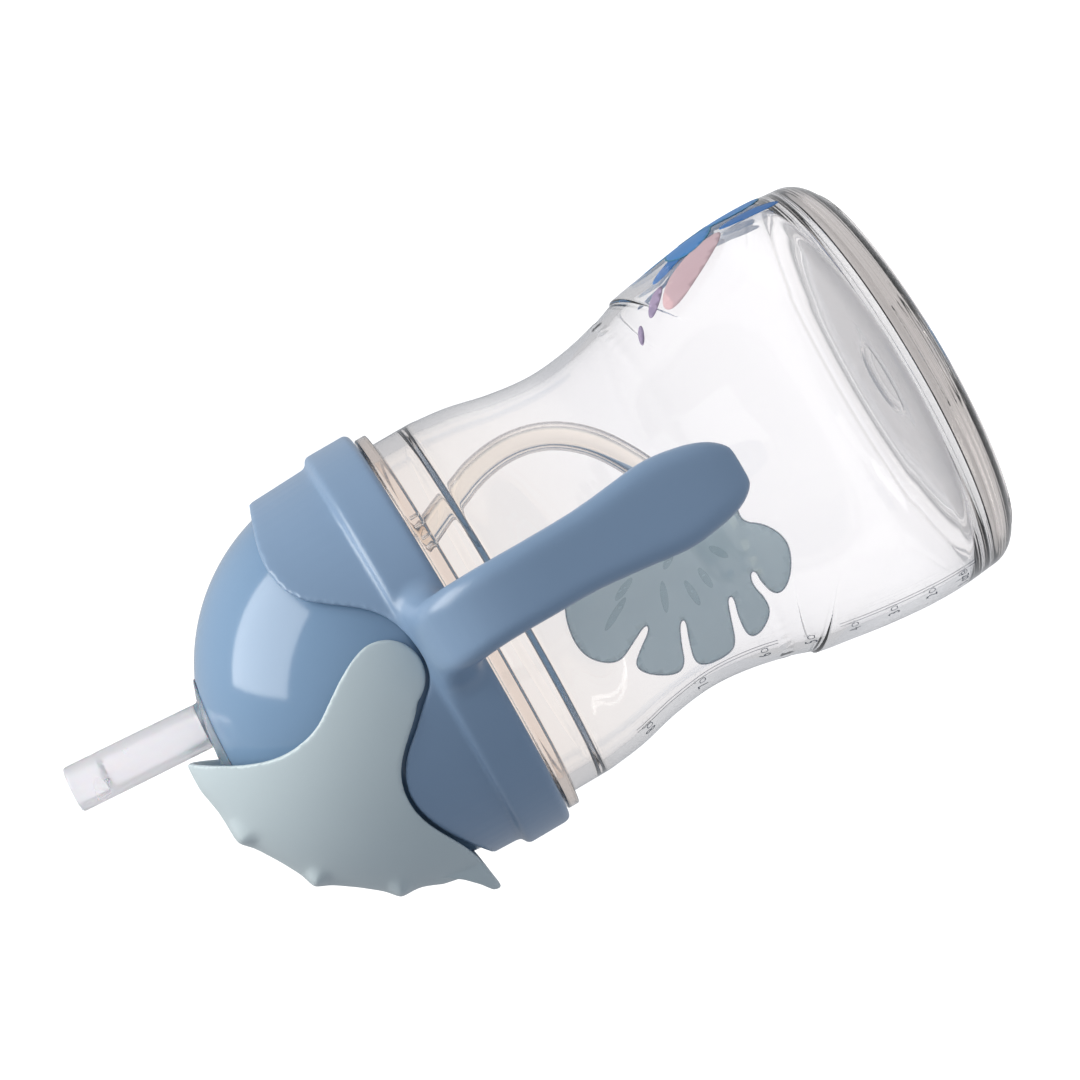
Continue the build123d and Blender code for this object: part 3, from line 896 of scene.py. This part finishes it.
def ellipse(centre, half_long, half_short, angle):
    """The outline of an ellipse, turned by an angle in degrees."""
    turn = np.linspace(0, tau, 40, endpoint=False)
    u, v = half_long * np.cos(turn), half_short * np.sin(turn)
    tilt = radians(angle)
    across = centre[0] + u * cos(tilt) - v * sin(tilt)
    up = centre[1] + u * sin(tilt) + v * cos(tilt)
    return np.stack([across, up], -1)


def thin_solid(flat, triangles, facing, lift):
    """Points and faces of a closed film over the wall, from flat triangles."""
    across, z = flat.T
    low = on_wall(facing, across, z, lift + PRINT_LIFT[0])
    high = on_wall(facing, across, z, lift + PRINT_LIFT[1])
    count = len(flat)
    faces = [tuple(count + i for i in t) for t in triangles] + [tuple(reversed(t)) for t in triangles]
    sides = dict.fromkeys(side for t in triangles for side in zip(t, (*t[1:], t[0])))
    faces += [(i, j, count + j, count + i) for i, j in sides if (j, i) not in sides]
    return np.concatenate([low, high]), faces


def filled(outline, facing, lift, spacing=1.2):
    """A film with that outline, with points inside so that it bends with the wall."""
    lo, hi = outline.min(0), outline.max(0)
    us = np.arange(lo[0] + spacing / 2, hi[0], spacing)
    vs = np.arange(lo[1] + spacing / 2, hi[1], spacing)
    inner = [(u, v) for u in us for v in vs]
    points = [Vector(p) for p in outline] + [Vector(p) for p in inner]
    made = delaunay_2d_cdt(points, [], [list(range(len(outline)))], 1, 1e-5)
    return thin_solid(np.array(made[0]), [tuple(f) for f in made[2]], facing, lift)


def stroked(line, width, facing, lift, closed=True):
    """A film along a line."""
    line = np.asarray(line, float)
    if closed:
        ahead = np.roll(line, -1, axis=0) - np.roll(line, 1, axis=0)
    else:
        ahead = np.gradient(line, axis=0)
    ahead /= np.linalg.norm(ahead, axis=1)[:, None]
    normal = np.stack([-ahead[:, 1], ahead[:, 0]], -1) * width / 2
    flat = np.concatenate([line + normal, line - normal])
    count = len(line)
    triangles = []
    for i in range(count if closed else count - 1):
        j = (i + 1) % count
        triangles += [(i, count + i, j), (j, count + i, count + j)]
    return thin_solid(flat, triangles, facing, lift)


def film(name, parts, mat):
    """One piece from several films."""
    points, faces, start = [], [], 0
    for part_points, part_faces in parts:
        points.append(part_points)
        faces += [tuple(start + i for i in face) for face in part_faces]
        start += len(part_points)
    piece = mesh_of(name, np.concatenate(points), faces)
    finish_piece(piece, "bottle", mat)


def print_ink(name, color, darker, cover, scale=90):
    """Satin screen-printed ink, slightly uneven; cover is the share of light it stops."""
    mat, tree, shader = material(name, color, 0.5, Alpha=cover)
    clouds = noise_texture(tree, scale, detail=4)
    shade_between(tree, shader, clouds, (darker, color), (0.35, 0.62))
    add_bump(tree, shader, noise_texture(tree, scale=3000, detail=2), 0.000005)
    return mat


# colour, darker colour, share of light stopped, scale of the unevenness
INK_LOOKS = {
    "leaf": ((0.70, 0.81, 0.83), (0.67, 0.78, 0.80), 0.72, 60),
    "leaf_line": ((0.30, 0.37, 0.45), (0.28, 0.35, 0.43), 0.42),
    "leaf_mark": ((0.50, 0.62, 0.66), (0.47, 0.59, 0.63), 0.14),
    "flower_deep": ((0.035, 0.16, 0.42), (0.03, 0.14, 0.38), 0.97),
    "flower_blue": ((0.06, 0.23, 0.52), (0.05, 0.2, 0.47), 0.97),
    "flower_teal": ((0.03, 0.2, 0.3), (0.025, 0.18, 0.27), 1.0),
    "flower_pale": ((0.4, 0.63, 0.7), (0.37, 0.6, 0.67), 0.97),
    "flower_pink": ((0.66, 0.47, 0.49), (0.63, 0.44, 0.46), 0.93),
    "flower_purple": ((0.36, 0.29, 0.42), (0.33, 0.26, 0.39), 0.93),
    "scale": ((0.16, 0.18, 0.22), (0.14, 0.16, 0.2), 0.85),
}
INK = {name: print_ink(f"{name}_ink", *look) for name, look in INK_LOOKS.items()}

LEAF_FACING = pi
# a broad leaf with four slits, as (towards +Y, up); slits run in from the rim
LEAF = [
    (-4, 47), (-5.5, 58), (-3, 68), (5, 74.2), (10.5, 75.8), (15, 75), (18.2, 71),
    (16.4, 67.2), (14.7, 63.9), (15.9, 63.6), (18, 66.6), (20, 68.8), (22.6, 67), (25, 62.9),
    (24.2, 60.9), (20.6, 60), (17.4, 58.7), (17.5, 57.5), (20.9, 58.6), (24.9, 59.3), (26.4, 57.2),
    (26.6, 53.4), (25.6, 51.7), (21.6, 50.9), (18, 50), (18.1, 48.8), (21.8, 49.6), (25.6, 49.4),
    (26.2, 47.4), (24, 44.6), (21.4, 44.4), (18.2, 45.4), (16.2, 44.9), (16.3, 43.9), (18.6, 43.9),
    (21.6, 42.7), (21.4, 40.6), (18.6, 38.4), (14.5, 37.2), (10.4, 39.2), (8.4, 42.2), (5.6, 41.9),
    (2.6, 40.2), (-1.5, 41.5),
]
# darker marks along the veins: centre, half length, angle
LEAF_MARKS = [
    ((10.8, 67.5), 3.2, 62), ((8, 64.3), 2.3, 66), ((12.5, 59), 2.6, 20), ((14.3, 54.6), 2.4, -4),
    ((13.2, 51.6), 2, -8), ((7.6, 55.5), 1.7, 55), ((10.6, 47.8), 1.8, -32), ((3.5, 62), 2.6, 72),
]
MARK_HALF_WIDTH = 0.62
MIRROR = np.array((-1, 1))  # the leaf is given towards +Y, which is leftwards from -X


def make_leaf():
    """The leaf print on the side: its ground, its outline and the marks along its veins."""
    outline = rounded(LEAF) * MIRROR
    film("leaf_print", [filled(outline, LEAF_FACING, 0.0)], INK["leaf"])
    film("leaf_outline", [stroked(outline, 0.22, LEAF_FACING, PRINT_STEP)], INK["leaf_line"])
    marks = []
    for centre, half_long, angle in LEAF_MARKS:
        mark = ellipse(centre, half_long, MARK_HALF_WIDTH, angle) * MIRROR
        marks.append(filled(mark, LEAF_FACING, PRINT_STEP))
    film("leaf_marks", marks, INK["leaf_mark"])


FRONT_FACING = -pi / 2
FLOWER_AT = (0.0, 21.0)
PETALS = 5
PETAL_REACH = 7.6  # from the flower's middle to the middle of a petal
PETAL_HALVES = (6.4, 4.6)  # half length and half width
HEART_LIFT = 0.13  # over the petals
BLADE_HALF_WIDTH = 1.7
# blades beside the flower: centre, half length, angle
BLADES = [
    ((-13.5, 13), 5.5, 78), ((-11.5, 28), 5.5, 118), ((9, 11.5), 4, 110), ((8, 31), 4, 60),
]
# centre, half length, half width, angle
FLOWER_LEAF = ((-17.6, 26.5), 8.6, 3.1, 118)
FLOWER_TIPS = [((-18.2, 34.6), 3.0, 1.1, 130), ((-20.6, 39.8), 1.6, 0.6, 150)]


def make_front_print():
    """A plain five-petal flower with blades and one leaf."""
    petals, rims = [], []
    for i in range(PETALS):
        angle = 90 + 360 / PETALS * i
        across = FLOWER_AT[0] + PETAL_REACH * cos(radians(angle))
        up = FLOWER_AT[1] + PETAL_REACH * sin(radians(angle))
        outline = ellipse((across, up), *PETAL_HALVES, angle)
        lift = PRINT_STEP * (i + 1)
        petals.append(filled(outline, FRONT_FACING, lift))
        rims.append(stroked(outline, 0.3, FRONT_FACING, lift + PRINT_STEP / 2))
    blades = []
    for centre, half_long, angle in BLADES:
        blades.append(filled(ellipse(centre, half_long, BLADE_HALF_WIDTH, angle), FRONT_FACING, 0.0))
    tips = [filled(ellipse(*tip), FRONT_FACING, PRINT_STEP) for tip in FLOWER_TIPS]
    film("flower_blades", blades, INK["flower_deep"])
    film("flower_petals", petals, INK["flower_blue"])
    film("flower_rims", rims, INK["flower_teal"])
    heart = filled(ellipse(FLOWER_AT, 3.0, 3.0, 0), FRONT_FACING, HEART_LIFT)
    film("flower_heart", [heart], INK["flower_pale"])
    film("flower_leaves", [filled(ellipse(*FLOWER_LEAF), FRONT_FACING, 2 * PRINT_STEP)], INK["flower_pink"])
    film("flower_tips", tips, INK["flower_purple"])


SCALE_FACING = pi - radians(65)
OUNCE_HEIGHTS = (12.2, 18.4, 25.4, 32.4, 39.8, 47.6, 59.1, 70.6)
RULE_SPANS = [(OUNCE_HEIGHTS[0], OUNCE_HEIGHTS[3]), (OUNCE_HEIGHTS[5], OUNCE_HEIGHTS[7])]
RULE_OVERRUN = 2.5  # how far a rule goes on past its last mark
RULE_GAP = 1.1
SCALE_LINE = 0.16
BOX_SPAN = (-2.1, -0.5)  # beside the rule
BOX_HALF_HEIGHT = 0.55
DIGIT_SIZE = 3.0
DIGITS_AT = -2.8  # the numerals end here


def digit_films(text, across, z):
    """Generic numerals, bent over the wall."""
    curve = bpy.data.curves.new("digit", "FONT")
    curve.body = text
    curve.size = DIGIT_SIZE
    curve.align_x = "RIGHT"
    curve.align_y = "CENTER"
    line = new_piece("digit", curve)
    mesh = bpy.data.meshes.new_from_object(line)
    flat = np.array([(v.co.x + across, v.co.y + z) for v in mesh.vertices])
    mesh.calc_loop_triangles()
    triangles = [tuple(triangle.vertices) for triangle in mesh.loop_triangles]
    bpy.data.objects.remove(line)
    bpy.data.meshes.remove(mesh)
    return thin_solid(flat, triangles, SCALE_FACING, PRINT_STEP)


def make_scale():
    """The graduation scale: a double rule, a small box at each ounce, and the numerals."""
    parts = []
    for low, high in RULE_SPANS:
        heights = np.linspace(low - RULE_OVERRUN, high + RULE_OVERRUN, 40)
        for across in (0.0, RULE_GAP):
            rule = np.stack([np.full(len(heights), across), heights], -1)
            parts.append(stroked(rule, SCALE_LINE, SCALE_FACING, PRINT_STEP, closed=False))
    left, right = BOX_SPAN
    for number, z in enumerate(OUNCE_HEIGHTS, 1):
        low, high = z - BOX_HALF_HEIGHT, z + BOX_HALF_HEIGHT
        corners = [(left, low), (right, low), (right, high), (left, high)]
        parts.append(stroked(rounded(corners, 2), SCALE_LINE, SCALE_FACING, PRINT_STEP))
        label = f"{number} oz" if number == 1 else str(number)
        parts.append(digit_films(label, DIGITS_AT, z))
    film("volume_scale", parts, INK["scale"])


FLANGE_R = 36.2
STOP_ANGLES = (23.8, 30.6)  # degrees from each handle, towards -Y at -X and +Y at +X
STOP_OFFSETS = (-0.95, 0.95)  # the two stops of a pair
STOP_HALF_WIDTH = 0.32
STOP_RADII = (35.9, 36.42)
STOP_HEIGHTS = (86.75, 88.5)
STOP_ROUNDING = 0.12


def make_stops():
    """Small stops on the neck's flange, in two pairs beside each handle."""
    half, (low, high) = STOP_HALF_WIDTH, STOP_HEIGHTS
    outline = [(-half, low), (half, low), (half, high), (-half, high)]
    quads = [(0, 1, 2, 3), (4, 5, 6, 7), (0, 1, 5, 4), (1, 2, 6, 5), (2, 3, 7, 6), (3, 0, 4, 7)]
    corners, faces = [], []
    for facing, degrees, offset in product((pi, 0), STOP_ANGLES, STOP_OFFSETS):
        faces += [tuple(len(corners) + i for i in quad) for quad in quads]
        middle = facing + radians(degrees) + offset / FLANGE_R
        for radius, (across, z) in product(STOP_RADII, outline):
            angle = middle + across / FLANGE_R
            corners.append((radius * cos(angle), radius * sin(angle), z))
    stops = mesh_of("flange_stops", corners, faces)
    bevel = stops.modifiers.new("bevel", "BEVEL")
    bevel.width = STOP_ROUNDING * MM
    bevel.segments = 2
    finish_piece(stops, "bottle", CLEAR_FITTING)


# ---- stage
def area_light(name, place, target, size, power, color=(1, 1, 1)):
    """A rectangular lamp that faces its target."""
    data = bpy.data.lights.new(name, "AREA")
    data.shape = "RECTANGLE"
    data.size, data.size_y = size
    data.energy = power
    data.color = color
    light = bpy.data.objects.new(name, data)
    light.location = place
    light.rotation_euler = (Vector(target) - Vector(place)).to_track_quat("-Z", "Y").to_euler()
    bpy.context.scene.collection.objects.link(light)
    return light


# what a ray that leaves the object meets, by its kind
WHITE = (1.25, 1.25, 1.25, 1)  # from the camera
AMBIENT = (0.265, 0.295, 0.345, 1)  # from a matt surface, as light
MIRRORED = (0.50, 0.51, 0.53, 1)  # from a glossy surface
EDGE = (0.62, 0.62, 0.635, 1)  # through one clear wall only
THROUGH = (0.94, 0.92, 0.925, 1)  # through more walls, at the lit backdrop
UNDERNEATH = (0.17, 0.17, 0.19, 1)  # through more walls, at the shade under the bottle
ONE_WALL = 2.5  # surfaces: fewer than these are one wall


def studio_white(tree, openness):
    """The studio's surround: white to look at, dimmer as a light, and grey in a clear wall's edge.

    A ray that has crossed one wall only mostly ran along it, at an edge, so it comes back grey.
    Openness is the share of the lit backdrop, rather than the shade under the bottle, that is met.
    """
    path = node(tree, "ShaderNodeLightPath")
    crossed = node(tree, "ShaderNodeMath", operation="GREATER_THAN")
    crossed.inputs[1].default_value = ONE_WALL
    link(path.outputs["Transmission Depth"], crossed.inputs[0])
    steps = [
        (openness, UNDERNEATH, THROUGH),
        (crossed.outputs[0], EDGE, None),
        (path.outputs["Is Transmission Ray"], MIRRORED, None),
        (path.outputs["Is Diffuse Ray"], None, AMBIENT),
        (path.outputs["Is Camera Ray"], None, WHITE),
    ]
    colour = None
    for factor, low, high in steps:
        mix = node(tree, "ShaderNodeMix", data_type="RGBA")
        factor_socket, low_socket, high_socket = mix.inputs[0], mix.inputs[6], mix.inputs[7]
        link(factor, factor_socket)
        if low:
            low_socket.default_value = low
        if high:
            high_socket.default_value = high
        if colour:
            link(colour, high_socket if low else low_socket)
        colour = mix.outputs[2]
    return colour


def from_to(tree, value, start, end):
    """0 to 1 as the value goes from start to end."""
    spread = node(tree, "ShaderNodeMapRange", interpolation_type="SMOOTHSTEP")
    spread.inputs["From Min"].default_value = start
    spread.inputs["From Max"].default_value = end
    link(value, spread.inputs["Value"])
    return spread.outputs["Result"]


def make_world():
    """The surround, open at the sides and shaded overhead for rays through the clear parts."""
    world = bpy.data.worlds.new("world")
    bpy.context.scene.world = world
    world.use_nodes = True
    tree = world.node_tree
    place = node(tree, "ShaderNodeTexCoord")
    axes = node(tree, "ShaderNodeSeparateXYZ")
    link(place.outputs["Generated"], axes.inputs["Vector"])
    openness = from_to(tree, axes.outputs["Z"], 0.8, 0.45)
    link(studio_white(tree, openness), tree.nodes["Background"].inputs["Color"])


FLOOR_HALF = 20.0  # metres
SHADE_EDGE = (0.0335, 0.0365)  # metres from the bottle's axis, where the shade under it ends


def make_floor():
    """A pale floor that gives off the surround's white, with the shade under the bottle."""
    mesh = bpy.data.meshes.new("floor")
    corners = [(x * FLOOR_HALF, y * FLOOR_HALF, 0) for x, y in ((-1, -1), (1, -1), (1, 1), (-1, 1))]
    mesh.from_pydata(corners, [], [(0, 1, 2, 3)])
    floor = new_piece("floor", mesh)
    mat, tree, shader = material("pale_floor", (0.30, 0.30, 0.30), 0.9, Emission_Strength=0.86, IOR=1.0)
    place = node(tree, "ShaderNodeNewGeometry")
    distance = node(tree, "ShaderNodeVectorMath", operation="LENGTH")
    link(place.outputs["Position"], distance.inputs[0])
    openness = from_to(tree, distance.outputs["Value"], *SHADE_EDGE)
    link(studio_white(tree, openness), shader.inputs["Emission Color"])
    mesh.materials.append(mat)


def make_stage():
    """The surround, the floor, a key lamp over the front and a weak fill that isn't mirrored."""
    make_world()
    make_floor()
    area_light(
        "key", (-0.08, -0.29, 0.455), target=(0, 0, 0.112), size=(0.36, 0.39), power=2.45,
        color=(1.0, 0.99, 0.97),
    )
    fill = area_light("fill", (-0.9, -0.35, 0.75), target=(0, 0, 0.09), size=(0.8, 0.8), power=1.8)
    fill.visible_glossy = False


# the CAD's pieces that are shown as they are
CARRIED_OVER = {
    "vent_valve": SILICONE_CLEAR, "straw_connector": CLEAR_FITTING, "weight_sleeve": CLEAR_FITTING,
    "weight_core": STEEL, "weight_nose": CLEAR_FITTING, "seal_ring": SILICONE,
}


def main():
    make_camera()
    make_straw()
    make_bottle()
    make_stops()
    make_leaf()
    make_front_print()
    make_scale()
    make_collar()
    make_dome()
    make_cover()
    make_spout_plug()
    make_spout_tube()
    for name, mat in CARRIED_OVER.items():
        nodes[name].data.materials.clear()
        nodes[name].data.materials.append(mat)
    make_stage()
    scene = bpy.context.scene
    scene.view_settings.view_transform = "Standard"
    scene.cycles.max_bounces = 20
    scene.cycles.transmission_bounces = 20
    scene.cycles.transparent_max_bounces = 24
    scene.cycles.sample_clamp_indirect = 3.0


main()
